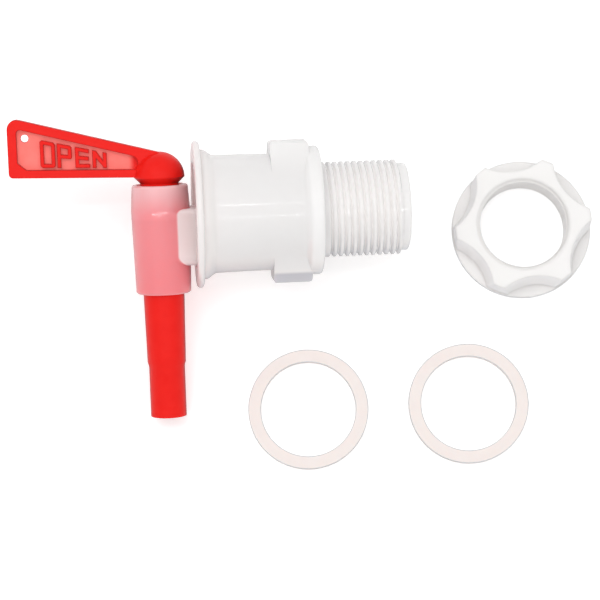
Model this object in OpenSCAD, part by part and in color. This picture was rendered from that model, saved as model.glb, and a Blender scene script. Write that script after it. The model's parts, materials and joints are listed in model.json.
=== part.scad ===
// Beverage dispenser spigot: a plastic quarter-turn tap with its back nut and two sealing washers.
// The tap lies loose on a flat surface, as it does before fitting, with its fixings beside it.
// Units are millimetres. The tap is drawn along its own axis, with x running back along the
// threaded tail from the sealing face and z running up the barrel, and is then laid down.

/* [Tail and sealing face] */
// Outer radius of the tail thread (3/4 inch parallel pipe thread)
tail_r = 13.22; // [10:0.01:18]
// Length of the tail behind the sealing face
tail_len = 24.3; // [16:0.1:40]
// Radius of the plain lead-in at the end of the tail
lead_r = 12.2; // [9.8:0.1:13]
// Length of the plain lead-in
lead_len = 2.5; // [1:0.1:5]
// Radius of the water passage through the tail
inlet_r = 9.5; // [6:0.1:9.8]
// Depth that the tail passage is sunk in front of the sealing face
inlet_depth = 2.5; // [1:0.1:4]

/* [Flange and body] */
// Radius of the round front flange
flange_r = 20.4; // [19:0.1:30]
// Thickness of the front flange
flange_t = 2; // [1.2:0.1:4]
// Length of the body from the flange's front face to the sealing face
body_len = 35; // [28:0.5:60]
// Radius of the body just behind its flare
body_front_r = 16.4; // [15.8:0.1:17.4]
// Radius of the body at the collar
body_rear_r = 16.1; // [15.6:0.1:17.4]
// Radius of the flare where it meets the flange
flare_r = 18; // [17.5:0.1:19]
// Length of the straight part of the flare
flare_land = 0.6; // [0.5:0.1:3]
// Length of the flare's curve
flare_len = 3.2; // [2:0.1:8]
// Wall of the hollow body
body_wall = 1.6; // [1:0.1:2.4]
// Thickness of the wall that closes the hollow body at the back
back_wall = 2.5; // [1.5:0.1:5]

/* [Collar and lugs] */
// Radius of the collar that carries the sealing face
collar_r = 17.9; // [17.4:0.1:18.8]
// Length of the collar
collar_len = 3; // [2:0.1:8]
// Rounding of the collar's rear edge
collar_round = 1; // [0.3:0.1:1.5]
// Length over which the body swells into the collar
collar_ease = 2.2; // [0.5:0.1:4]
// Outer radius of the two spanner lugs
lug_r = 19.9; // [18.5:0.1:22]
// Length of each lug along the body
lug_len = 10.8; // [6:0.1:14]
// Width of each lug's top across the body
lug_w = 10; // [6:0.5:12]
// Rounding of the lugs' outer corners
lug_round = 1.5; // [0.5:0.1:2]

/* [Neck] */
// Height of the box-shaped neck between the barrel and the body
neck_h = 15.8; // [12:0.1:17]
// Width of the neck
neck_w = 14.5; // [10:0.1:15]
// Distance of the neck's middle below the body axis
neck_drop = 5.7; // [4.6:0.1:6]
// Rounding of the neck's upper corners
neck_round_top = 1.5; // [0.5:0.1:3]
// Rounding of the neck's lower corners
neck_round_low = 3; // [1:0.1:4]
// Radius of the water passage through the neck
passage_r = 3.6; // [2:0.1:3.6]

/* [Barrel] */
// Distance of the barrel's axis in front of the flange
barrel_offset = 9.2; // [8.9:0.1:16]
// Height of the barrel's top above the body axis
barrel_up = 8.8; // [6:0.1:14]
// Depth of the barrel's bottom below the body axis
barrel_down = 21.3; // [18:0.1:32]
// Radius of the barrel at its top
barrel_top_r = 7.75; // [7.7:0.05:8.3]
// Radius of the barrel where it is widest
barrel_mid_r = 8.2; // [7.9:0.05:8.6]
// Radius of the barrel at its bottom
barrel_low_r = 7.65; // [7.2:0.05:8.2]
// Height of the widest part of the barrel above the body axis
barrel_mid_up = 1.7; // [0:0.1:5]

/* [Plug and nozzle] */
// Radius of the tapered plug at its shoulder
plug_r = 6.3; // [6.1:0.05:6.6]
// Radius of the plug where it leaves the bottom of the barrel
nozzle_top_r = 5.7; // [5.6:0.05:6]
// Running clearance round the plug
plug_gap = 0.05; // [0.03:0.01:0.1]
// Depth of the plug's shoulder below the top of the barrel
shoulder_depth = 9.2; // [6:0.1:10]
// Radius of the stem between the shoulder and the dome
stem_r = 5.3; // [4.6:0.1:5.6]
// Radial height of the bead inside the barrel that holds the plug in
bead_h = 0.5; // [0.3:0.05:0.6]
// Play between the shoulder and the bead
bead_gap = 0.15; // [0.1:0.05:0.4]
// Depth of the nozzle's tip below the body axis
tip_down = 56; // [46:0.1:90]
// Length of the nozzle's plain lower part
spout_len = 14; // [6:0.1:20]
// Radius of the nozzle's plain lower part
spout_r = 5; // [4.6:0.05:5.3]
// Radius of the nozzle just above its step
nozzle_low_r = 5.35; // [5.3:0.05:5.6]
// Length of the chamfer at the nozzle's step
step_len = 1.3; // [0.5:0.1:3]
// Radius of the water passage through the nozzle
outlet_r = 3.6; // [2:0.1:3.9]
// Wall left above the passage, over the plug's side port
port_roof = 1.4; // [0.8:0.1:1.6]

/* [Dome and lever] */
// Radius of the dome on top of the plug
dome_r = 7; // [6.2:0.05:8]
// Height of the dome's undercut cone
dome_cone = 1.7; // [1:0.1:3]
// Gap between the dome and the barrel
dome_gap = 0.4; // [0.3:0.05:1]
// Reach of the lever from the barrel's axis to its end
lever_reach = 41.1; // [30:0.1:60]
// Thickness of the lever's rim
lever_t = 4.4; // [2.5:0.1:6]
// Thickness of the thin web inside the rim
web_t = 1.4; // [0.8:0.1:2.4]
// Height of the lever at its end
lever_end_h = 16.7; // [10:0.1:24]
// Slope of the lever's top edge
lever_top_slope = 15; // [8:0.5:18]
// Slope of the lever's bottom edge
lever_low_slope = 1.7; // [0:0.1:4]
// Width of the rim along the lever's top and end
rim_top = 2.5; // [1.2:0.1:3]
// Width of the rim along the lever's bottom
rim_low = 2.2; // [1.2:0.1:3]
// Rounding of the lever's upper outer corner
corner_top_r = 2.6; // [1:0.1:5]
// Distance from the barrel's axis to the inner end of the recess in each face
recess_start = 5.7; // [5:0.1:6.5]
// Rounding of the recess's inner upper corner
recess_r = 2; // [0.5:0.1:3]
// Rounding of the lever's lower outer corner
corner_low_r = 1.2; // [0.5:0.1:3]
// Radius of the small hole in the lever's upper corner
eye_r = 1.05; // [0.5:0.05:1.4]
// Distance of that hole from the two edges of the recess
eye_inset = 2.2; // [1.6:0.1:4]
// Size of the small gusset in the lower corner of the recess
gusset = 2.4; // [1:0.1:4]

/* [Back nut] */
// Radius of the nut's flange
nut_flange_r = 19.7; // [18.5:0.1:26]
// Thickness of the nut's flange
nut_flange_t = 2; // [1:0.1:4]
// Height of the nut
nut_h = 9.8; // [6:0.1:16]
// Radius over the nut's six blunt tips
nut_tip_r = 19.3; // [17.6:0.1:20]
// Radius at the middle of the nut's hollowed sides
nut_side_r = 15.2; // [14.2:0.1:16]
// Width of each blunt tip
nut_tip_w = 3.4; // [1.5:0.1:5]
// Slope of the nut's hollowed sides, as the width they gain from the top to the flange
nut_draft = 1.2; // [0:0.1:2]
// Chamfer where the tail enters the nut, at its top
nut_lead_in = 1.2; // [0.4:0.1:1.6]
// Turn of the nut as it lies
nut_turn = 5; // [0:1:60]
// Clearance between the tail's thread core and the nut's bore
nut_gap_r = 0.09; // [0.05:0.01:0.3]
// Depth of the tail's thread form
thread_depth = 1.16; // [0.8:0.01:1.4]

/* [Washers] */
// Clearance between the tail and the hole of each washer
washer_gap = 0.1; // [0.1:0.05:0.6]
// Width of each washer's ring
washer_w = 3.6; // [2:0.1:6]
// Thickness of the washer that seals outside the wall of the vessel
outer_washer_t = 2; // [1:0.1:4]
// Thickness of the washer that seals inside the wall of the vessel
inner_washer_t = 2; // [1:0.1:4]

/* [Where the loose pieces lie] */
// Gap between the end of the tail and the nut
nut_lay_gap = 13.4; // [2:0.1:40]
// Distance of the nut's middle in front of the line of the tail
nut_lay_y = 5.6; // [0:0.1:12]
// Gap between the nozzle and the first washer
washer_lay_gap = 15.4; // [2:0.1:40]
// Gap between the collar and the row of washers
washer_row_gap = 18.9; // [5:0.1:60]
// Gap between the two washers
washer_apart = 11.3; // [2:0.1:40]
// Distance of the second washer in front of the first one's row
washer_step = 0.9; // [0:0.1:10]

/* [Hidden] */
$fn = 96;
eps = 0.01;

// Places along the body, counted from the sealing face
flange_back_x = flange_t - body_len;
barrel_x = -body_len - barrel_offset;
cup_floor_x = -inlet_depth - back_wall;
thread_mid = (tail_len - lead_len) / 2;

// Heights along the barrel, counted from the body axis
shoulder_z = barrel_up - shoulder_depth;
dome_base_z = barrel_up + dome_gap;
dome_z = dome_base_z + dome_cone;
step_z = spout_len - tip_down;
port_top_z = -neck_drop + passage_r + port_roof;

// How the loose tap settles: the flange's rim, the collar's edge and the nozzle's tip touch
rim_round = flange_t / 2;
settle_run = body_len - rim_round - collar_round;
pitch = atan((flange_r - collar_r) / settle_run);
seal_h = (collar_r - collar_round) * cos(pitch) + collar_round - collar_round * sin(pitch);
function tip_height(roll) =
    seal_h - barrel_x * sin(pitch) - tip_down * sin(roll) * cos(pitch)
    - spout_r * norm([sin(pitch), cos(roll) * cos(pitch)]);
function settled_roll(low, high, steps) =
    let (mid = (low + high) / 2)
    steps == 0 ? mid
    : tip_height(mid) > 0 ? settled_roll(mid, high, steps - 1)
    : settled_roll(low, mid, steps - 1);
roll = settled_roll(0, 45, 30);
floor_z = thread_mid * sin(pitch) - seal_h;

// Places of the loose pieces
nut_bore_r = tail_r - thread_depth + nut_gap_r;
washer_in_r = tail_r + washer_gap;
washer_out_r = washer_in_r + washer_w;
nut_x = (tail_len - thread_mid) * cos(pitch) + nut_lay_gap + nut_flange_r;
washer_x = barrel_x - thread_mid + nozzle_top_r + washer_lay_gap + washer_out_r;
washer_y = -collar_r - washer_row_gap - washer_out_r;

// Points of an arc round a centre, from one angle to another
function arc(centre, r, from, to, steps = 8) =
    [for (i = [0:steps]) centre + r * [cos(from + (to - from) * i / steps), sin(from + (to - from) * i / steps)]];

// Turns the tap from its own axes to the way it lies, with the middle of its thread at the origin
module lay_down() rotate([roll - 90, pitch, 0]) translate([-thread_mid, 0, 0]) children();

// Revolves an outline of [radius, x] points round the body axis
module turned(outline) rotate([90, 0, 90]) rotate_extrude() polygon(outline);

// A straight bore along the body axis, or beside it
module bore_x(r, from, to, z = 0) translate([from, 0, z]) rotate([0, 90, 0]) cylinder(r = r, h = to - from);

// A rectangle with its own rounding at the upper and at the lower corners
module rounded_block(w, h, r_up, r_low) {
    polygon([
        [-w / 2, r_low - h / 2], [r_low - w / 2, -h / 2], [w / 2 - r_low, -h / 2], [w / 2, r_low - h / 2],
        [w / 2, h / 2 - r_up], [w / 2 - r_up, h / 2], [r_up - w / 2, h / 2], [-w / 2, h / 2 - r_up]
    ]);
    for (side = [-1, 1]) {
        translate([side * (w / 2 - r_low), r_low - h / 2]) circle(r_low, $fn = 48);
        translate([side * (w / 2 - r_up), h / 2 - r_up]) circle(r_up, $fn = 48);
    }
}

// Front flange, flared body and collar as one turned outline
module body_skin() {
    curve_x = flange_back_x + flare_land;
    flare = [for (i = [0:10])
        [body_front_r + (flare_r - body_front_r) * (1 + cos(18 * i)) / 2, curve_x + flare_len * i / 10]];
    swell = [for (i = [0:6])
        [collar_r - (collar_r - body_rear_r) * (1 + cos(30 * i)) / 2, collar_ease * (i / 6 - 1) - collar_len]];
    turned(concat(
        [[0, -body_len]],
        arc([flange_r - rim_round, rim_round - body_len], rim_round, -90, 90, 10),
        [[flare_r, flange_back_x]],
        flare,
        swell,
        arc([collar_r - collar_round, -collar_round], collar_round, 0, 90, 6),
        [[0, 0]]
    ));
}

// The hollow of the body, open through the flange, with a slight draft
module cup_hollow() {
    turned([
        [0, -body_len - eps], [body_front_r - body_wall + eps, -body_len - eps],
        [body_rear_r - body_wall, cup_floor_x], [0, cup_floor_x]
    ]);
}

// Section of a lug: an arched top, with flanks that run down to touch the round of the body
module lug_section() {
    lean = asin(lug_w / 2 / lug_r);
    spread = lean + acos(body_rear_r / lug_r);
    foot = body_rear_r * [sin(spread), cos(spread)];
    corner = lug_r * [sin(lean), cos(lean)];
    past = corner + (corner - foot) * 0.3;
    intersection() {
        circle(lug_r);
        polygon([[0, 0], foot, past, [-past[0], past[1]], [-foot[0], foot[1]]]);
    }
}

// Two lugs that stand out of the body above and below, against the collar
module lugs() {
    front_x = -collar_len - lug_len;
    for (side = [0, 180]) rotate([side, 0, 0]) intersection() {
        translate([front_x, 0, 0]) rotate([90, 0, 90]) linear_extrude(lug_len) lug_section();
        translate([front_x + lug_len / 2, lug_r, 0]) rotate([90, 0, 0]) linear_extrude(2 * lug_r)
            rounded_block(lug_len, 2 * lug_r, lug_round, lug_round);
    }
}

// The tail: the thread at its full radius, then a rounded plain lead-in
module tail() {
    lead_round = lead_len / 3;
    turned(concat(
        [[0, -eps], [tail_r, -eps], [tail_r, tail_len - lead_len], [lead_r, tail_len - lead_len]],
        arc([lead_r - lead_round, tail_len - lead_round], lead_round, 0, 90, 6),
        [[0, tail_len]]
    ));
}

// The neck, which runs from the barrel to the back of the hollow body
module neck() {
    translate([barrel_x, 0, -neck_drop]) rotate([90, 0, 90])
        linear_extrude(cup_floor_x - barrel_x + eps)
            rounded_block(neck_w, neck_h, neck_round_top, neck_round_low);
}

// Radius of the plug's taper at a height
function plug_taper(z) =
    nozzle_top_r + (plug_r - nozzle_top_r) * (z + barrel_down) / (shoulder_z + barrel_down);

module barrel_skin() {
    edge = 0.4;
    translate([barrel_x, 0, 0]) rotate_extrude() polygon([
        [0, -barrel_down], [barrel_low_r - edge, -barrel_down], [barrel_low_r, edge - barrel_down],
        [barrel_mid_r, barrel_mid_up], [barrel_top_r, barrel_up - edge], [barrel_top_r - edge, barrel_up],
        [0, barrel_up]
    ]);
}

// Tapered seat for the plug, with the bead that snaps over the plug's shoulder
module barrel_bore() {
    seat_r = plug_r + plug_gap;
    bead_z = shoulder_z + bead_gap;
    translate([barrel_x, 0, 0]) rotate_extrude() polygon([
        [0, -barrel_down - 1], [plug_taper(-barrel_down - 1) + plug_gap, -barrel_down - 1],
        [seat_r, shoulder_z], [seat_r, bead_z], [seat_r - bead_h, bead_z + bead_h],
        [seat_r - bead_h, bead_z + 2 * bead_h], [seat_r, bead_z + 3 * bead_h],
        [seat_r, barrel_up + 1], [0, barrel_up + 1]
    ]);
}

module tap_body() {
    color("#EEEBE8") lay_down() difference() {
        union() {
            difference() {
                union() {
                    body_skin();
                    lugs();
                }
                cup_hollow();
            }
            neck();
            barrel_skin();
            tail();
        }
        barrel_bore();
        bore_x(inlet_r, -inlet_depth, tail_len + 1);
        bore_x(passage_r, barrel_x, 0, -neck_drop);
    }
}

// Plug, nozzle, stem and dome as one turned outline, and the passage inside them
module plug() {
    difference() {
        rotate_extrude() polygon(concat(
            [[0, -tip_down], [spout_r, -tip_down], [spout_r, step_z], [nozzle_low_r, step_z + step_len]],
            [[nozzle_top_r, -barrel_down], [plug_r, shoulder_z], [stem_r, shoulder_z], [stem_r, dome_base_z]],
            arc([0, dome_z], dome_r, 0, 90, 16)
        ));
        translate([0, 0, -tip_down - 1]) cylinder(r = outlet_r, h = port_top_z + tip_down + 1);
        translate([0, 0, -neck_drop]) rotate([0, 90, 0]) cylinder(r = passage_r, h = plug_r + 1);
    }
}

// Height of the lever's lower and upper edges at a distance from the barrel's axis
lever_low_z = dome_z;
function low_edge(x) = lever_low_z + x * tan(lever_low_slope);
function top_edge(x) = low_edge(lever_reach) + lever_end_h - (lever_reach - x) * tan(lever_top_slope);

// Centre of a rounding of radius r that touches the top edge from below, at a depth under it
function under_top(x, depth, r) = [x, top_edge(x) - (depth + r) / cos(lever_top_slope)];

// Outline of the lever seen from the side
module lever_outline() {
    low_corner = [lever_reach - corner_low_r, low_edge(lever_reach) + corner_low_r];
    polygon(concat(
        [[0, low_edge(0)], [0, top_edge(0)]],
        arc(under_top(lever_reach - corner_top_r, 0, corner_top_r), corner_top_r, 90 + lever_top_slope, 0),
        arc(low_corner, corner_low_r, 0, -90)
    ));
}

// The recess in each face of the lever, with a small gusset left in its lower outer corner
module recess_outline() {
    end_x = lever_reach - rim_top;
    r = 1;
    polygon(concat(
        [[recess_start, low_edge(recess_start) + rim_low]],
        arc(under_top(recess_start + recess_r, rim_top, recess_r), recess_r, 180, 90 + lever_top_slope),
        arc(under_top(end_x - r, rim_top, r), r, 90 + lever_top_slope, 0),
        [[end_x, low_edge(end_x) + rim_low + gusset * 0.8]],
        [[end_x - gusset, low_edge(end_x - gusset) + rim_low]]
    ));
}

// The lever, drawn with x running out to its end
module lever() {
    eye_x = lever_reach - rim_top - eye_inset;
    difference() {
        translate([0, lever_t / 2, 0]) rotate([90, 0, 0]) linear_extrude(lever_t)
            lever_outline();
        for (side = [-1, 1])
            translate([0, side * (web_t + lever_t) / 2 + lever_t / 2, 0]) rotate([90, 0, 0])
                linear_extrude(lever_t) recess_outline();
        translate([eye_x, 0, top_edge(eye_x) - rim_top - eye_inset]) rotate([90, 0, 0])
            cylinder(r = eye_r, h = lever_t, center = true);
    }
}

module plug_lever() {
    color("#F03028") lay_down() translate([barrel_x, 0, 0]) {
        plug();
        mirror([1, 0, 0]) lever();
    }
}

// The nut's grip: six blunt tips between hollowed sides that lean in towards the top
module nut_grip() {
    half_tip = asin(nut_tip_w / 2 / nut_tip_r);
    run = nut_tip_r * cos(30 - half_tip) - nut_side_r;
    rise = nut_tip_r * sin(30 - half_tip);
    hollow_r = (run * run + rise * rise) / (2 * run);
    difference() {
        cylinder(r = nut_tip_r, h = nut_h);
        for (i = [0:5]) rotate(60 * i + 30) translate([nut_side_r + hollow_r, 0, nut_flange_t])
            cylinder(r1 = hollow_r - nut_draft, r2 = hollow_r, h = nut_h - nut_flange_t + eps);
    }
}

module back_nut() {
    rear_chamfer = 0.8;
    lead_in_r = nut_bore_r + nut_lead_in;
    color("#F6F3F1") translate([nut_x, -nut_lay_y, floor_z]) rotate(nut_turn) difference() {
        union() {
            cylinder(r = nut_flange_r, h = nut_flange_t);
            nut_grip();
        }
        translate([0, 0, -1]) cylinder(r = nut_bore_r, h = nut_h + 2);
        translate([0, 0, -eps]) cylinder(r1 = nut_bore_r + rear_chamfer, r2 = nut_bore_r, h = rear_chamfer);
        translate([0, 0, nut_h - nut_lead_in + eps]) cylinder(r1 = nut_bore_r, r2 = lead_in_r, h = nut_lead_in);
    }
}

module washer(thickness) {
    difference() {
        cylinder(r = washer_out_r, h = thickness);
        translate([0, 0, -1]) cylinder(r = washer_in_r, h = thickness + 2);
    }
}

module outer_washer() {
    color("#F7ECE8") translate([washer_x, washer_y, floor_z]) washer(outer_washer_t);
}

module inner_washer() {
    next_x = washer_x + 2 * washer_out_r + washer_apart;
    color("#F7ECE8") translate([next_x, washer_y - washer_step, floor_z]) washer(inner_washer_t);
}

tap_body();
plug_lever();
back_nut();
outer_washer();
inner_washer();
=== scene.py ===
# %% [markdown]
# # A beverage dispenser spigot with its nut and washers
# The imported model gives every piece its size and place. This script dresses it: it cuts the
# real thread into the tail and the nut, raises the lettering on the lever, and gives each piece
# a plastic or rubber that reads as the real one under soft light.

# %% Load the fixed frame
import json
import math

import bmesh
import bpy
from mathutils import Matrix, Vector

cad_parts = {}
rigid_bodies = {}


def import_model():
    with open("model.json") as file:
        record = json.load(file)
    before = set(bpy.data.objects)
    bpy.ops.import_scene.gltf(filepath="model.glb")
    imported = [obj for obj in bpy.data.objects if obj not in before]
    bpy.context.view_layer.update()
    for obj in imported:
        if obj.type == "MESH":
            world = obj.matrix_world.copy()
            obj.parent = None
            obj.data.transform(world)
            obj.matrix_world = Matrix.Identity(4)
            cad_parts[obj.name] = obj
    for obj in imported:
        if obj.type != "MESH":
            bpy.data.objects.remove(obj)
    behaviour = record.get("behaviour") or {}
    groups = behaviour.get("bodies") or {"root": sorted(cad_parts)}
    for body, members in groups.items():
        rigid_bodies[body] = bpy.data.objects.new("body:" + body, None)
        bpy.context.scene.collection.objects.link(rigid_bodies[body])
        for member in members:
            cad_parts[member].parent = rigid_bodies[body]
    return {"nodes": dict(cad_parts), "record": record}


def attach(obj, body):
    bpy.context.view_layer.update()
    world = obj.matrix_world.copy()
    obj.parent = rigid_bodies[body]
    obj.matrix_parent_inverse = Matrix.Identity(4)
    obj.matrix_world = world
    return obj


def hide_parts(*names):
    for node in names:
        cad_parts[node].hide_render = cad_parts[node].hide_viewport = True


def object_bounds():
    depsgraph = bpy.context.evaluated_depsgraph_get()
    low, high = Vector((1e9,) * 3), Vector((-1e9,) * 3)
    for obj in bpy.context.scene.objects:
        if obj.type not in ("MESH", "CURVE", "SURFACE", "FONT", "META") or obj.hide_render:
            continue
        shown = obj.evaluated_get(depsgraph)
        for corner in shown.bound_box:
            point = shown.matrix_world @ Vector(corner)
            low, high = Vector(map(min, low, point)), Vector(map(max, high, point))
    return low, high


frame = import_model()
cad_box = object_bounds()
print("CAD box", [[round(v, 4) for v in corner] for corner in cad_box])

# %% [markdown]
# The tap lies tilted on the table, so its own axes are read from the record: the tail's mount
# gives the way back along the body, and the lever's joint gives the way up the barrel.
# Everything on the tap is then drawn in those axes, in millimetres, and laid down by one matrix.

# %% The tap's own axes
MM = 0.001
mounts = {mount["name"]: mount for mount in frame["record"]["mounts"]}
hinge = frame["record"]["behaviour"]["joints"][0]
hinge_point = Vector(hinge["pos_m"])
tail = mounts["tail_thread"]
THREAD_LENGTH = tail["dims"]["length_mm"]
THREAD_R = tail["dims"]["r_mm"]
back_way = Vector(tail["axis"]).normalized()
up_way = Vector(hinge["axis"]).normalized()
side_way = up_way.cross(back_way).normalized()
seal_point = Vector(tail["pos_m"]) - back_way * THREAD_LENGTH / 2 * MM
BARREL_X = (hinge_point - seal_point).dot(back_way) / MM


def tap_matrix():
    """Takes millimetres along the tap's own axes to metres where the tap lies."""
    turn = Matrix((back_way, side_way, up_way)).transposed().to_4x4()
    return Matrix.Translation(seal_point) @ turn @ Matrix.Scale(MM, 4)


TAP = tap_matrix()
print("barrel axis", round(BARREL_X, 2), "mm from the sealing face")

# %% [markdown]
# ## Camera
# The photograph looks down on the loose pieces from about 0.6 m. The camera leans ten degrees
# towards the nozzle's side, so that the flange is seen edge-on while the rings further off open
# up a little. Its three axes are worked out from the two leans and then rolled together.

# %% Camera
CAMERA_DISTANCE = 0.6275
PHOTO_SPAN = 0.1709
LEAN_DOWN = math.radians(9.55)
LEAN_ACROSS = math.radians(-0.42)
ROLL = math.radians(3.30)
aim = Vector((-0.01765, -0.02217, cad_box[0][2]))


def camera_matrix():
    across, down = LEAN_ACROSS, LEAN_DOWN
    back = Vector((math.sin(across) * math.cos(down), -math.sin(down), math.cos(across) * math.cos(down)))
    right = Vector((0, 1, 0)).cross(back).normalized()
    turn = Matrix((right, back.cross(right), back)).transposed().to_4x4()
    return Matrix.Translation(aim + back * CAMERA_DISTANCE) @ turn @ Matrix.Rotation(-ROLL, 4, "Z")


def add_camera():
    data = bpy.data.cameras.new("camera")
    data.sensor_fit = "HORIZONTAL"
    data.angle = 2 * math.atan(PHOTO_SPAN / 2 / CAMERA_DISTANCE)
    camera = bpy.data.objects.new("camera", data)
    camera.matrix_world = camera_matrix()
    bpy.context.scene.collection.objects.link(camera)
    bpy.context.scene.camera = camera
    print("camera sees", round(math.degrees(data.angle), 1), "degrees across")


add_camera()

# %% [markdown]
# ## Floor and world
# A plain floor under a pale world gives the even light of a product picture. The Standard view
# shows colours as they are set, with no film curve in between.

# %% Floor and world
FLOOR_HALF = 3.0
WORLD_STRENGTH = 0.62
scene = bpy.context.scene
scene.view_settings.view_transform = "Standard"


def add_floor(height):
    mesh = bpy.data.meshes.new("floor")
    corners = [(-1, -1), (1, -1), (1, 1), (-1, 1)]
    mesh.from_pydata([(x * FLOOR_HALF, y * FLOOR_HALF, height) for x, y in corners], [], [(0, 1, 2, 3)])
    floor = bpy.data.objects.new("floor", mesh)
    scene.collection.objects.link(floor)
    return floor


def add_world():
    scene.world = bpy.data.worlds.new("studio")
    scene.world.use_nodes = True
    sky = scene.world.node_tree.nodes["Background"].inputs
    sky["Color"].default_value = (1, 1, 1, 1)
    sky["Strength"].default_value = WORLD_STRENGTH


floor = add_floor(cad_box[0][2])
add_world()
print("floor at", round(cad_box[0][2], 4), "m")

# %% [markdown]
# ## Lamps
# A broad softbox and a weaker fill light shape the pieces. They are hidden from reflections, as
# if they shone through a tent, so that they leave no wide gloss on the satin plastic. Two long
# thin lamps hang high on both sides of the tap, because the photograph shows two fine
# reflections that run along the body.

# %% Lamps
TUBE_HEIGHT = 0.85
TUBE_SIZE = (1.2, 0.012)
TUBE_POWER = 0.62
tube_places = {"tube_lamp_rear": 0.055, "tube_lamp_front": -0.316}


def add_area_lamp(name, place, size, power):
    data = bpy.data.lights.new(name, "AREA")
    data.shape = "RECTANGLE"
    data.size, data.size_y = size
    data.energy = power
    lamp = bpy.data.objects.new(name, data)
    lamp.location = place
    lamp.rotation_euler = (aim - Vector(place)).to_track_quat("-Z", "Y").to_euler()
    scene.collection.objects.link(lamp)
    print(name, power, "W")
    return lamp


softbox = add_area_lamp("overhead_softbox", place=(-0.25, 0.35, 1.1), size=(0.9, 0.7), power=4.0)
fill = add_area_lamp("front_fill", place=(0.3, -1.0, 0.7), size=(0.8, 0.5), power=1.2)
for broad_lamp in (softbox, fill):
    broad_lamp.visible_glossy = False
for tube, across in tube_places.items():
    add_area_lamp(tube, place=(aim.x, across, TUBE_HEIGHT), size=TUBE_SIZE, power=TUBE_POWER)

# %% [markdown]
# ## Nodes and shader arithmetic
# One function adds any node: it takes the node's type, its options, which are set first, and
# the values or links of its sockets. Shader sums read better as sums, so a small class wraps a
# socket, and an expression on it adds the Math nodes.


# %% Nodes and shader arithmetic
def connect(tree, item, socket):
    """Links an item that is a socket or a Value, and sets any other as the socket's own value."""
    if isinstance(item, Value):
        item = item.socket
    if isinstance(item, bpy.types.NodeSocket):
        tree.links.new(item, socket)
    else:
        socket.default_value = item


def add_node(tree, kind, options=(), **sockets):
    node = tree.nodes.new(kind)
    for option, setting in dict(options).items():
        setattr(node, option, setting)
    for name, item in sockets.items():
        connect(tree, item, node.inputs[name.replace("_", " ")])
    return node


class Value:
    """Wraps a socket, so that sums and products of it add Math nodes."""

    def __init__(self, tree, socket):
        self.tree = tree
        self.socket = socket

    def math(self, operation, *others):
        node = add_node(self.tree, "ShaderNodeMath", {"operation": operation})
        for slot, item in enumerate((self, *others)):
            connect(self.tree, item, node.inputs[slot])
        return Value(self.tree, node.outputs[0])

    def __add__(self, other):
        return self.math("ADD", other)

    def __sub__(self, other):
        return self.math("SUBTRACT", other)

    def __rsub__(self, other):
        return self.math("MULTIPLY_ADD", -1.0, other)

    def __mul__(self, other):
        return self.math("MULTIPLY", other)

    def step(self, low, high):
        """0 below low, 1 above high, and a soft step between them."""
        soft = {"interpolation_type": "SMOOTHSTEP"}
        node = add_node(self.tree, "ShaderNodeMapRange", soft, Value=self, From_Min=low, From_Max=high)
        return Value(self.tree, node.outputs["Result"])


# %% [markdown]
# ## Colours
# A colour is picked as it looks on a screen, from 0 to 255, but a shader adds and multiplies
# light, so it takes linear numbers. The formula between the two is that of the sRGB standard.

# %% Colours
NO_LIGHT = (0, 0, 0, 1)


def srgb(r, g, b):
    """A colour as read on a screen, from 0 to 255, in the linear numbers that shaders take."""
    def linear(level):
        level = level / 255
        return level / 12.92 if level <= 0.04045 else ((level + 0.055) / 1.055) ** 2.4
    return (linear(r), linear(g), linear(b), 1)


print("half grey is", round(srgb(128, 128, 128)[0], 2), "in light")

# %% [markdown]
# ## A finish
# Every plastic here is one Principled shader whose colour, roughness and relief change over the
# piece. Masks tell its parts from each other: by distance along a direction, by the way that the
# surface faces, or by its edges, which the Bevel node finds. All of them are fixed to the piece
# and turn with it.

# %% A finish
BEVEL_SAMPLES = 6


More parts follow.
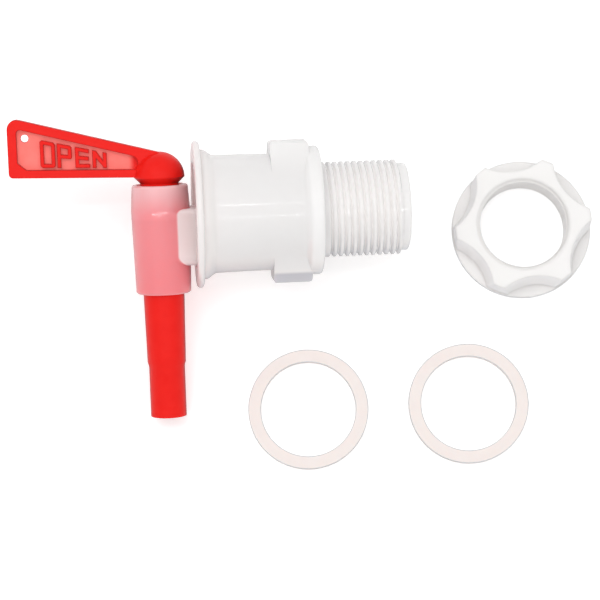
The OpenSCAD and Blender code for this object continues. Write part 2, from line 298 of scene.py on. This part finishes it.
class Finish:
    """One Principled material, with short methods for its masks, patterns and relief."""

    def __init__(self, name, **settings):
        self.material = bpy.data.materials.new(name)
        self.material.use_nodes = True
        self.tree = self.material.node_tree
        self.shader = self.tree.nodes["Principled BSDF"]
        self.set(**settings)
        coordinates = self.node("ShaderNodeTexCoord").outputs
        self.place = coordinates["Object"]
        self.own_normal = coordinates["Normal"]

    def set(self, **settings):
        """Sets or links the shader's sockets by name."""
        for name, item in settings.items():
            connect(self.tree, item, self.shader.inputs[name.replace("_", " ")])

    def node(self, kind, options=(), **sockets):
        return add_node(self.tree, kind, options, **sockets)

    def noise(self, size_mm, detail=2.0):
        node = self.node("ShaderNodeTexNoise", Vector=self.place, Scale=1 / (size_mm * MM), Detail=detail)
        return Value(self.tree, node.outputs["Fac"])

    def mix(self, factor, first, second):
        """A colour that goes from the first to the second as the factor goes from 0 to 1."""
        node = self.node("ShaderNodeMix", {"data_type": "RGBA"})
        factor_slot, first_slot, second_slot, colour_out = 0, 6, 7, 2
        for slot, item in ((factor_slot, factor), (first_slot, first), (second_slot, second)):
            connect(self.tree, item, node.inputs[slot])
        return node.outputs[colour_out]

    def dot(self, first, second):
        node = self.node("ShaderNodeVectorMath", {"operation": "DOT_PRODUCT"})
        for slot, item in enumerate((first, second)):
            connect(self.tree, item, node.inputs[slot])
        return Value(self.tree, node.outputs["Value"])

    def along(self, way, origin):
        """Millimetres along a direction from a point, as a value over the surface."""
        return self.dot(self.place, tuple(way / MM)) - origin.dot(way) / MM

    def facing(self, way):
        """1 where the surface faces along the direction, either way, and 0 where it lies along it."""
        return self.dot(self.own_normal, tuple(way)).math("ABSOLUTE")

    def upright(self):
        """1 on the flanks that stand upright while the piece lies at rest, and 0 on what faces up."""
        return 1 - self.facing(Vector((0, 0, 1))).step(0.0, 0.5)

    def rounded(self, edge_mm):
        """The way that the surface would face if its edges were rounded."""
        return self.node("ShaderNodeBevel", {"samples": BEVEL_SAMPLES}, Radius=edge_mm * MM).outputs[0]

    def edges(self, edge_mm):
        """1 along an edge, where a rounding would turn the surface away, and 0 off it."""
        true_way = self.node("ShaderNodeNewGeometry").outputs["Normal"]
        return (1 - self.dot(self.rounded(edge_mm), true_way)).step(0.01, 0.05)

    def glow(self, factor, light):
        """Emission where the factor is 1: painted light that stands in for light through thin plastic, or
        the floor's lift for the camera.
        """
        self.set(Emission_Color=self.mix(factor, NO_LIGHT, light), Emission_Strength=1.0)

    def relief(self, value, height_mm, edge_mm):
        """Fine surface relief over edges that are rounded by a hair."""
        edge = self.rounded(edge_mm)
        bump = self.node("ShaderNodeBump", Height=value, Distance=height_mm * MM, Strength=1.0, Normal=edge)
        self.set(Normal=bump.outputs[0])

    def done(self):
        print(self.material.name, len(self.tree.nodes), "nodes")
        return self.material


# %% [markdown]
# ## Floor finish
# The floor is plain white. Seen by the camera it gives some light of its own, so that the
# background and all but the deepest shadows go to paper white, while the pieces above get no
# more light than before.

# %% Floor finish
FLOOR_WHITE = (0.9, 0.9, 0.9, 1)
FLOOR_LIFT = (0.4, 0.4, 0.4, 1)


def floor_white():
    finish = Finish("studio_white", Base_Color=FLOOR_WHITE, Roughness=0.9, Specular_IOR_Level=0.1)
    seen = finish.node("ShaderNodeLightPath").outputs["Is Camera Ray"]
    finish.glow(seen, FLOOR_LIFT)
    return finish.done()


floor.data.materials.append(floor_white())

# %% [markdown]
# ## Body plastic
# The body is natural polypropylene: milky, satin and slightly see-through, with a thin clear
# coat that carries the two fine reflections. Round the barrel the wall is thin and the red plug
# sits close behind it, so the plastic there looks pink. The pink is a mask on the distance from
# the barrel's axis, weaker above the plug's shoulder, where only the thin stem stands behind the
# wall. The neck and the flange take a faint pink that fades out. A painted pink glow, emission on
# the barrel and the neck, stands in for light through the wall and lifts them out of the shade of
# the flange and the dome. The lower lug is painted greyer as painted shade, and so are the flanks
# that stand upright at rest.

# %% Body plastic
BARREL_TOP = 8.8
SHOULDER_Z = -0.4
BARREL_LOW = -21.3
BARREL_R = 8.2
LUG_FRONT = 30.4
LUG_REAR = 41.0
LUG_LOW = -16.3
LUG_FADE = 0.8
LUG_EDGE = 0.4
SHOULDER_FADE = 0.6
BARREL_SKIN = (BARREL_R + 0.05, BARREL_R + 0.4)
NECK_FADE = (4.0, 14.0)
FLANGE_FADE = (9.0, 17.0)
NECK_PINK = 0.35
FLANGE_PINK = 0.25
PAINTED_NECK_GLOW = 2.5
PAINTED_PINK_GLOW = (0.07, 0.02, 0.02, 1)


def body_plastic():
    finish = Finish(
        "milky_polypropylene", IOR=1.49, Subsurface_Weight=0.8, Subsurface_Scale=0.003,
        Subsurface_Radius=(1.0, 1.0, 1.0), Coat_Roughness=0.08, Coat_Weight=0.7
    )
    height = finish.along(up_way, hinge_point)
    back = finish.along(back_way, hinge_point)
    side = finish.along(side_way, hinge_point)
    reach = (back * back + side * side).math("SQRT")
    barrel = 1 - reach.step(*BARREL_SKIN)
    neck = (1 - back.step(*NECK_FADE)) * (1 - reach.step(*FLANGE_FADE)) * NECK_PINK
    blush = neck + (1 - back.step(*FLANGE_FADE)) * FLANGE_PINK
    on_lug = back.step(LUG_FRONT - LUG_FADE, LUG_FRONT) * (1 - back.step(LUG_REAR, LUG_REAR + LUG_EDGE))
    low_lug_shade = on_lug * (1 - height.step(LUG_LOW - LUG_FADE, LUG_LOW + LUG_EDGE))
    low_part = 1 - height.step(SHOULDER_Z - SHOULDER_FADE, SHOULDER_Z + SHOULDER_FADE)
    milk = finish.mix(finish.noise(7.0, detail=3.0), srgb(252, 245, 243), srgb(255, 250, 247))
    milk = finish.mix(blush, milk, srgb(252, 218, 218))
    # Painted shade: the lower lug is painted greyer, as if it lay in the tap's own shade.
    milk = finish.mix(low_lug_shade, milk, srgb(206, 205, 211))
    upper = finish.mix(height.step(SHOULDER_Z, BARREL_TOP), srgb(250, 146, 152), srgb(255, 192, 195))
    lower = finish.mix(height.step(BARREL_LOW, SHOULDER_Z), srgb(246, 134, 140), srgb(246, 142, 148))
    plastic = finish.mix(barrel, milk, finish.mix(low_part, upper, lower))
    # Painted shade: the flanks that stand upright at rest are painted greyer, a greyer pink on the barrel.
    flank_shade = finish.mix(barrel, srgb(222, 222, 225), srgb(206, 134, 140))
    finish.set(Base_Color=finish.mix(finish.upright(), plastic, flank_shade))
    # Painted glow: pink emission on the barrel and neck stands in for light through the wall and lifts them
    # out of the shade of the flange and dome.
    finish.glow(barrel + neck * PAINTED_NECK_GLOW, PAINTED_PINK_GLOW)
    finish.set(Roughness=finish.noise(1.2) * 0.08 + 0.27)
    finish.relief(finish.noise(2.5, detail=3.0), height_mm=0.012, edge_mm=0.35)
    return finish.done()


body_finish = body_plastic()

# %% [markdown]
# ## Lever plastic
# The plug and lever are glossy red. The thin web between the rims lets some light through, so
# it looks paler than the thick parts: a mask on the distance from the lever's middle plane
# finds it, and a painted glow, emission on the web, stands in for the light that comes through.
# The small walls round the recess and the letters, their edges and the flanks that stand upright
# at rest are painted deeper red: partly the deeper red of thick plastic seen edge-on, partly
# painted shade.

# %% Lever plastic
LEVER_ROOT = (-8.5, -6.5)
WEB_FACE = (0.75, 0.95)
RIM_FACE = (2.0, 2.3)
PAINTED_WEB_GLOW = (0.1, 0.04, 0.035, 1)


def lever_plastic():
    finish = Finish(
        "glossy_red_plastic", IOR=1.5, Specular_IOR_Level=0.2, Subsurface_Weight=0.12,
        Subsurface_Scale=0.0015, Subsurface_Radius=(1.0, 0.15, 0.1)
    )
    side = finish.along(side_way, hinge_point).math("ABSOLUTE")
    back = finish.along(back_way, hinge_point)
    flat = finish.facing(side_way)
    on_lever = 1 - back.step(*LEVER_ROOT)
    web = (1 - side.step(*WEB_FACE)) * on_lever * flat.step(0.6, 0.9)
    wall = (1 - flat.step(0.3, 0.7)) * (1 - side.step(*RIM_FACE)) * on_lever
    cloud = finish.noise(3.0, detail=3.0)
    red = finish.mix(cloud, srgb(240, 24, 18), srgb(248, 36, 28))
    thin = finish.mix(cloud, srgb(252, 112, 104), srgb(255, 136, 128))
    # Painted shade: the flanks that stand upright at rest are painted dark red.
    red = finish.mix(finish.upright(), red, srgb(170, 0, 0))
    # Painted shade, with the deeper red of thick plastic seen edge-on: the walls round the recess and the
    # letters are painted deeper red.
    red = finish.mix(wall, red, srgb(206, 8, 8))
    red = finish.mix(web, red, thin)
    # Painted shade, with the deeper red of thick plastic seen edge-on: dark red lines along the lever's
    # edges.
    finish.set(Base_Color=finish.mix(finish.edges(0.3) * on_lever, red, srgb(196, 6, 8)))
    # Painted glow: emission on the thin web stands in for the light that comes through it.
    finish.glow(web, PAINTED_WEB_GLOW)
    finish.set(Roughness=finish.noise(1.5) * 0.08 + 0.3)
    finish.relief(finish.noise(2.0), height_mm=0.012, edge_mm=0.3)
    return finish.done()


lever_finish = lever_plastic()

# %% [markdown]
# ## Nut plastic and washer rubber
# The nut is the same kind of plastic as the body, a little whiter and without its coat, and its
# edges are softer. Its flanks that stand upright at rest are painted a little greyer, as painted
# shade. The washers are soft silicone with a dull skin and a trace of pink. Their edges are
# greyer, as the photograph has them: painted shade along their side walls.


# %% Nut plastic and washer rubber
def nut_plastic():
    finish = Finish(
        "white_polypropylene", IOR=1.49, Subsurface_Weight=0.6, Subsurface_Scale=0.003,
        Subsurface_Radius=(1.0, 1.0, 1.0)
    )
    milk = finish.mix(finish.noise(6.0, detail=3.0), srgb(250, 246, 243), srgb(254, 250, 247))
    # Painted shade: the flanks that stand upright at rest are painted a little greyer.
    finish.set(Base_Color=finish.mix(finish.upright(), milk, srgb(243, 242, 243)))
    finish.set(Roughness=finish.noise(1.2) * 0.08 + 0.32)
    finish.relief(finish.noise(2.0, detail=3.0), height_mm=0.012, edge_mm=0.9)
    return finish.done()


def washer_rubber():
    finish = Finish(
        "pale_silicone", IOR=1.41, Subsurface_Weight=0.25, Subsurface_Scale=0.002,
        Subsurface_Radius=(1.0, 0.8, 0.7)
    )
    rubber = finish.mix(finish.noise(4.0, detail=4.0), srgb(246, 234, 230), srgb(250, 240, 236))
    # Painted shade: the washers' edges are painted grey-blue.
    finish.set(Base_Color=finish.mix(finish.edges(0.5), rubber, srgb(184, 194, 198)))
    finish.set(Roughness=finish.noise(0.8) * 0.12 + 0.48)
    finish.relief(finish.noise(0.7, detail=3.0), height_mm=0.02, edge_mm=0.4)
    return finish.done()


nut_finish = nut_plastic()
washer_finish = washer_rubber()

# %% [markdown]
# ## Making a piece from its solid
# A piece that keeps the solid's form starts as a copy of it. The solid comes as loose
# triangles, so the copy's doubles are merged first, and cuts then run through a closed mesh.

# %% Making a piece from its solid
MERGE_DISTANCE = 1e-6


def new_object(name, mesh):
    piece = bpy.data.objects.new(name, mesh)
    scene.collection.objects.link(piece)
    return piece


def copy_of_node(name, node):
    mesh = frame["nodes"][node].data.copy()
    mesh.materials.clear()
    work = bmesh.new()
    work.from_mesh(mesh)
    bmesh.ops.remove_doubles(work, verts=work.verts, dist=MERGE_DISTANCE)
    work.to_mesh(mesh)
    work.free()
    mesh.name = name
    for layer in [a.name for a in mesh.attributes if a.name.startswith("custom_normal")]:
        mesh.attributes.remove(mesh.attributes[layer])
    return new_object(name, mesh)


# %% [markdown]
# A modifier's result is turned into a plain mesh before a piece is handed in. Here that serves
# the thread's Geometry Nodes and the booleans that cut the thread or join the lettering.

# %% Cutting, joining and handing in
SHARP_ANGLE = math.radians(32)


def make_plain(piece):
    """Turns a piece with its modifiers into a plain mesh."""
    graph = bpy.context.evaluated_depsgraph_get()
    mesh = bpy.data.meshes.new_from_object(piece.evaluated_get(graph))
    piece.modifiers.clear()
    old = piece.data
    piece.data = mesh
    bpy.data.batch_remove([old])
    mesh.name = piece.name


def join_or_cut(piece, other, operation):
    modifier = piece.modifiers.new(operation.lower(), "BOOLEAN")
    modifier.operation = operation
    modifier.solver = "EXACT"
    modifier.object = other
    make_plain(piece)
    bpy.data.objects.remove(other)


def finish_piece(piece, material):
    piece.data.materials.clear()
    piece.data.materials.append(material)
    piece.data.polygons.foreach_set("material_index", [0] * len(piece.data.polygons))
    piece.data.shade_smooth()
    piece.data.set_sharp_from_angle(angle=SHARP_ANGLE)
    print(piece.name, len(piece.data.polygons), "faces")


def hand_in(piece, node, body):
    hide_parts(node)
    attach(piece, body)


# %% [markdown]
# ## Threads
# A thread is a groove that follows a helix, so Geometry Nodes draw it: a spiral carries the
# groove's outline, a trapezium that is narrow at the root and wide at the mouth, and the bar that
# this sweeps is cut out of the tail and the nut, as a lathe would cut it. The curve's normals
# are kept upright, so that the outline doesn't twist on its way round. The pitch is that of a
# 3/4 inch pipe thread, and the groove is a little shallower, as the teeth in the photograph are.

# %% The groove as a node tree
PITCH = 1.814
THREAD_DEPTH = 0.8
ROOT_WIDTH = 0.3
OVERCUT = 0.2
FLANK = math.tan(math.radians(27.5))
POINTS_PER_TURN = 96


def groove_tree():
    tree = bpy.data.node_groups.new("helical_groove", "GeometryNodeTree")
    for name in ("Radius", "Turns", "Rise", "Depth", "Root Width", "Mouth Width", "Outline Turn"):
        tree.interface.new_socket(name, in_out="INPUT", socket_type="NodeSocketFloat")
    tree.interface.new_socket("Finish", in_out="INPUT", socket_type="NodeSocketMaterial")
    tree.interface.new_socket("Geometry", in_out="OUTPUT", socket_type="NodeSocketGeometry")
    ask = tree.nodes.new("NodeGroupInput").outputs
    helix = add_node(
        tree, "GeometryNodeCurveSpiral", Resolution=POINTS_PER_TURN, Rotations=ask["Turns"],
        Start_Radius=ask["Radius"], End_Radius=ask["Radius"], Height=ask["Rise"], Reverse=True
    )
    upright = add_node(tree, "GeometryNodeSetCurveNormal", {"mode": "Z_UP"}, Curve=helix.outputs[0])
    outline = add_node(
        tree, "GeometryNodeCurvePrimitiveQuadrilateral", {"mode": "TRAPEZOID"}, Height=ask["Depth"],
        Bottom_Width=ask["Root Width"], Top_Width=ask["Mouth Width"], Offset=0.0
    )
    turn = add_node(tree, "ShaderNodeCombineXYZ", Z=ask["Outline Turn"])
    turned = add_node(tree, "GeometryNodeTransform", Geometry=outline.outputs[0], Rotation=turn.outputs[0])
    path = upright.outputs[0]
    bar = add_node(
        tree, "GeometryNodeCurveToMesh", Curve=path, Profile_Curve=turned.outputs[0], Fill_Caps=True
    )
    real = add_node(tree, "GeometryNodeRealizeInstances", Geometry=bar.outputs[0])
    painted = add_node(tree, "GeometryNodeSetMaterial", Geometry=real.outputs[0], Material=ask["Finish"])
    result = tree.nodes.new("NodeGroupOutput")
    tree.links.new(painted.outputs[0], result.inputs[0])
    print(tree.name, len(tree.nodes), "nodes")
    return tree


GROOVE = groove_tree()


# %% [markdown]
# The same tree cuts both threads. On the tail the groove's mouth faces outwards. In the nut it
# faces inwards, so its path lies on the crest's other side and its outline is turned round.

# %% Cutting a thread
def groove_bar(name, crest_r, start, length, outward, place, material):
    """The bar that a thread's groove takes away, as a plain mesh where it belongs."""
    sign = 1 if outward else -1
    height = THREAD_DEPTH + OVERCUT
    sizes = {
        "Radius": crest_r + sign * (OVERCUT - THREAD_DEPTH) / 2,
        "Turns": length / PITCH,
        "Rise": length,
        "Depth": height,
        "Root Width": ROOT_WIDTH,
        "Mouth Width": ROOT_WIDTH + 2 * height * FLANK,
        "Outline Turn": -sign * math.pi / 2,
        "Finish": material,
    }
    bar = new_object(name, bpy.data.meshes.new(name))
    modifier = bar.modifiers.new("groove", "NODES")
    modifier.node_group = GROOVE
    for item in GROOVE.interface.items_tree:
        if item.in_out == "INPUT":
            modifier[item.identifier] = sizes[item.name]
    make_plain(bar)
    bar.data.transform(place @ Matrix.Translation((0, 0, start)))
    print(name, round(length / PITCH, 1), "turns,", len(bar.data.polygons), "faces")
    return bar


# %% [markdown]
# ## Body
# The body is one hollow moulding, and its solid already has the form, so only the thread is
# cut. The groove starts just behind the sealing face and runs out at the plain lead-in.

# %% Body
GROOVE_START = 0.9
GROOVE_RUN = THREAD_LENGTH - 0.6
ALONG_TAIL = TAP @ Matrix.Rotation(math.pi / 2, 4, "Y")

body = copy_of_node("tap_body_moulding", "tap_body")
tail_groove = groove_bar(
    "tail_groove", THREAD_R, GROOVE_START, GROOVE_RUN, outward=True, place=ALONG_TAIL, material=body_finish
)
join_or_cut(body, tail_groove, "DIFFERENCE")
finish_piece(body, body_finish)
hand_in(body, "tap_body", "tap")

# %% [markdown]
# ## Lettering on the lever
# The word on the lever says what it does, as ON and OFF do on a switch. Its block letters stand
# on one line, and their tops follow the lever's slope, so every corner is given as a distance
# across the letter and a share of the height there, with strokes of one width. The outlines are
# poly splines of one flat curve: Blender fills between an outer and an inner outline by itself,
# and gives the letters their thickness and rounded edges.

# %% Outlines of the letters
STROKE = 1.0
letter_starts = {"O": 32.3, "P": 27.7, "E": 22.8, "N": 18.1}
letter_widths = {"O": 4.05, "P": 3.95, "E": 3.95, "N": 3.85}


def letter_o(w, t):
    cut = 0.5
    low = [(cut, 0, 0), (w - cut, 0, 0), (w, 0, cut)]
    top = [(w, 1, -cut), (w - cut, 1, 0), (cut, 1, 0), (0, 1, -cut), (0, 0, cut)]
    inner = [(t, 0, t), (w - t, 0, t), (w - t, 1, -t), (t, 1, -t)]
    return [low + top, inner]


def letter_p(w, t):
    mid, cut, low_cut = 0.4, 0.4, 0.3
    low = [(0, 0, 0), (t, 0, 0), (t, mid, 0), (w - low_cut, mid, 0), (w, mid, cut)]
    top = [(w, 1, -cut), (w - cut, 1, 0), (0, 1, 0)]
    inner = [(t, mid, t), (w - t, mid, t), (w - t, 1, -t), (t, 1, -t)]
    return [low + top, inner]


def letter_e(w, t):
    mid, half, short, top_short = 0.5, t / 2, 0.3, 0.2
    low = [(0, 0, 0), (w, 0, 0), (w, 0, t), (t, 0, t)]
    arm = [(t, mid, -half), (w - short, mid, -half), (w - short, mid, half), (t, mid, half)]
    top = [(t, 1, -t), (w - top_short, 1, -t), (w - top_short, 1, 0), (0, 1, 0)]
    return [low + arm + top]


def letter_n(w, t):
    fall, foot, rise = 2.0, 0.3, 1.9
    low = [(0, 0, 0), (t, 0, 0), (t, 1, -fall), (w - t, 0, foot), (w - t, 0, 0), (w, 0, 0)]
    top = [(w, 1, 0), (w - t, 1, 0), (w - t, 0, rise), (t, 1, 0), (0, 1, 0)]
    return [low + top]


letter_drawings = {"O": letter_o, "P": letter_p, "E": letter_e, "N": letter_n}
print("letters", " ".join(letter_drawings))

# %% [markdown]
# A corner of a letter has three numbers: the distance across, the share of the height, and a
# distance above that. Two sloping lines, the letters' foot and top, turn them into a place on
# the lever's face.

# %% Lettering
LETTER_FACE = 2.05
LETTER_FOOT = 0.5
LETTER_EDGE = 0.12
LETTERS_LOW = (14.07, 0.038)
LETTERS_TOP = (18.13, 0.232)
LAST_LETTER = 14.3


def letter_corner(start, across, share, above):
    """Place on the lever's face, in the tap's own millimetres from the sealing face."""
    out = start - across
    low = LETTERS_LOW[0] + LETTERS_LOW[1] * (out - LAST_LETTER)
    top = LETTERS_TOP[0] + LETTERS_TOP[1] * (out - LAST_LETTER)
    return BARREL_X - out, low + (top - low) * share + above


def letter_curve():
    curve = bpy.data.curves.new("lettering", "CURVE")
    curve.dimensions = "2D"
    curve.fill_mode = "BOTH"
    curve.extrude = (LETTER_FACE - LETTER_FOOT) / 2 - LETTER_EDGE
    curve.bevel_depth = LETTER_EDGE
    curve.bevel_resolution = 2
    curve.offset = -LETTER_EDGE
    for letter, start in letter_starts.items():
        for outline in letter_drawings[letter](letter_widths[letter], STROKE):
            spline = curve.splines.new("POLY")
            spline.points.add(len(outline) - 1)
            for point, corner in zip(spline.points, outline):
                point.co = (*letter_corner(start, *corner), 0, 1)
            spline.use_cyclic_u = True
    return curve


def lettering():
    """The word as one closed mesh on the lever, with its feet sunk into the web."""
    word = new_object("lettering", letter_curve())
    graph = bpy.context.evaluated_depsgraph_get()
    mesh = bpy.data.meshes.new_from_object(word.evaluated_get(graph))
    bpy.data.objects.remove(word)
    middle = (LETTER_FACE + LETTER_FOOT) / 2
    mesh.transform(TAP @ Matrix.Translation((0, -middle, 0)) @ Matrix.Rotation(math.pi / 2, 4, "X"))
    work = bmesh.new()
    work.from_mesh(mesh)
    bmesh.ops.remove_doubles(work, verts=work.verts, dist=MERGE_DISTANCE)
    bmesh.ops.recalc_face_normals(work, faces=work.faces)
    print("lettering", len(work.faces), "faces,", sum(not e.is_manifold for e in work.edges), "open edges")
    work.to_mesh(mesh)
    work.free()
    return new_object("lettering", mesh)


# %% [markdown]
# ## Plug and lever
# The lever, dome, stem, plug and nozzle are one moulding, so the letters are joined to it and
# the whole is one piece that turns in the barrel.

# %% Plug and lever
lever = copy_of_node("plug_and_lever", "plug_lever")
join_or_cut(lever, lettering(), "UNION")
finish_piece(lever, lever_finish)
hand_in(lever, "plug_lever", "plug")

# %% [markdown]
# ## Nut and washers
# The nut's own groove runs out past both faces. The washers keep their solids' plain rings.

# %% Nut and washers
nut_mount = mounts["nut_thread"]
NUT_BORE_R = nut_mount["dims"]["r_mm"]
NUT_GROOVE_START = -7.0
NUT_GROOVE_RUN = 14.0
UP_NUT = Matrix.Translation(Vector(nut_mount["pos_m"])) @ Matrix.Scale(MM, 4)

nut = copy_of_node("back_nut_moulding", "back_nut")
nut_groove = groove_bar(
    "nut_groove", NUT_BORE_R, NUT_GROOVE_START, NUT_GROOVE_RUN, outward=False, place=UP_NUT,
    material=nut_finish
)
join_or_cut(nut, nut_groove, "DIFFERENCE")
finish_piece(nut, nut_finish)
hand_in(nut, "back_nut", "tap")

for which in ("outer_washer", "inner_washer"):
    ring = copy_of_node(which + "_ring", which)
    finish_piece(ring, washer_finish)
    hand_in(ring, which, "tap")
